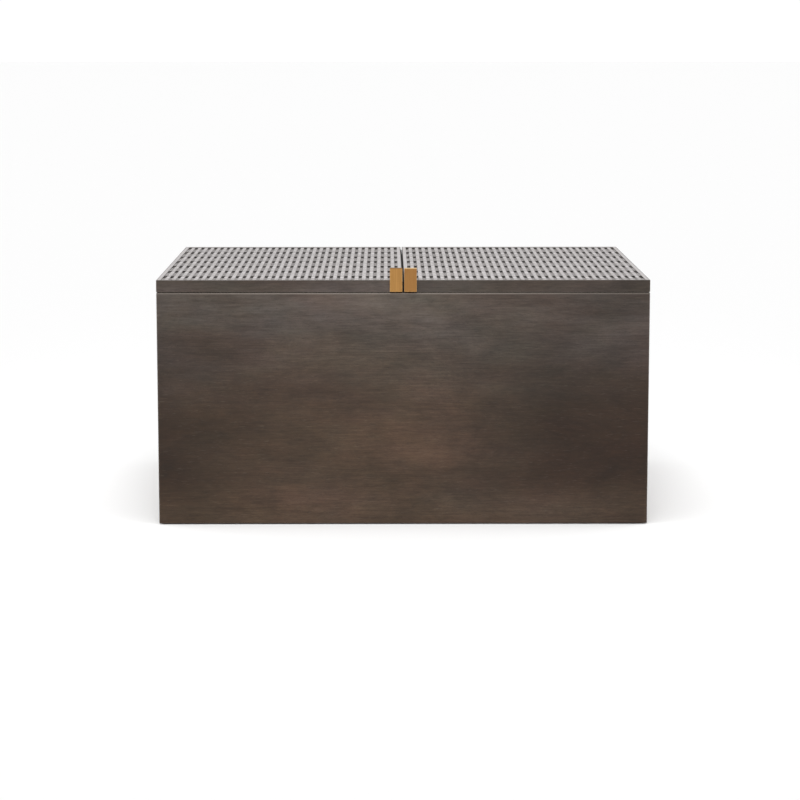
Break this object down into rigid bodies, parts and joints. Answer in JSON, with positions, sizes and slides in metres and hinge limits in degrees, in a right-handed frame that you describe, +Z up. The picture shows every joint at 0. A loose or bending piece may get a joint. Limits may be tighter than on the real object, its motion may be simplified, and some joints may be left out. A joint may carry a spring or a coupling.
{
  "type": "storage coffee table",
  "caption": "Box-shaped storage coffee table with side-by-side woven cane lids that hinge up at the back, each lifted by a brass edge pull.",
  "frame": {"origin": "on the floor, under the middle of the table", "axes": "+Z up, the front with the pulls faces -Y, +X runs to the right across the width"},
  "size_m": [0.915, 0.7238, 0.483],
  "materials": {
    "walnut": "dark walnut stain, satin, fine straight grain",
    "dark_plywood": "plywood stained near black, matt",
    "cane": "flat rattan strips, silver-grey wash, satin",
    "brass": "vertically brushed, satin lacquer",
    "hinge_bronze": "bronzed",
    "nylon": "moulded nylon",
    "black_rubber": "soft black rubber"
  },
  "bodies": {
    "box": {"front_wall": "walnut", "back_wall": "walnut", "left_wall": "walnut", "right_wall": "walnut", "floor_panel": "dark_plywood", "centre_rail": "walnut", "front_left_block": "walnut", "front_right_block": "walnut", "back_left_block": "walnut", "back_right_block": "walnut", "floor_glides": "nylon", "lid_bumpers": "black_rubber", "left_outer_body_leaf": "hinge_bronze", "left_inner_body_leaf": "hinge_bronze", "right_inner_body_leaf": "hinge_bronze", "right_outer_body_leaf": "hinge_bronze", "left_outer_hinge_pin": "hinge_bronze", "left_inner_hinge_pin": "hinge_bronze", "right_inner_hinge_pin": "hinge_bronze", "right_outer_hinge_pin": "hinge_bronze", "body_leaf_screws": "hinge_bronze"},
    "left_lid": {"left_lid_front_rail": "walnut", "left_lid_back_rail": "walnut", "left_lid_outer_stile": "walnut", "left_lid_inner_stile": "walnut", "left_lid_cross_rail": "walnut", "left_lid_backing": "dark_plywood", "left_lid_cane": "cane", "left_lid_border": "cane", "left_lid_pull": "brass", "left_lid_pull_screws": "brass", "left_outer_lid_leaf": "hinge_bronze", "left_inner_lid_leaf": "hinge_bronze", "left_lid_leaf_screws": "hinge_bronze", "lid_gap_seal": "black_rubber"},
    "right_lid": {"right_lid_front_rail": "walnut", "right_lid_back_rail": "walnut", "right_lid_outer_stile": "walnut", "right_lid_inner_stile": "walnut", "right_lid_cross_rail": "walnut", "right_lid_backing": "dark_plywood", "right_lid_cane": "cane", "right_lid_border": "cane", "right_lid_pull": "brass", "right_lid_pull_screws": "brass", "right_outer_lid_leaf": "hinge_bronze", "right_inner_lid_leaf": "hinge_bronze", "right_lid_leaf_screws": "hinge_bronze"}
  },
  "joints": [
    {"name": "left_lid_hinge", "type": "hinge", "parent": "box", "child": "left_lid", "pos_m": [-0.2295, 0.3589, 0.437], "axis": [-1, 0, 0], "range_deg": [0, 95]},
    {"name": "right_lid_hinge", "type": "hinge", "parent": "box", "child": "right_lid", "pos_m": [0.2295, 0.3589, 0.437], "axis": [-1, 0, 0], "range_deg": [0, 95]}
  ]
}
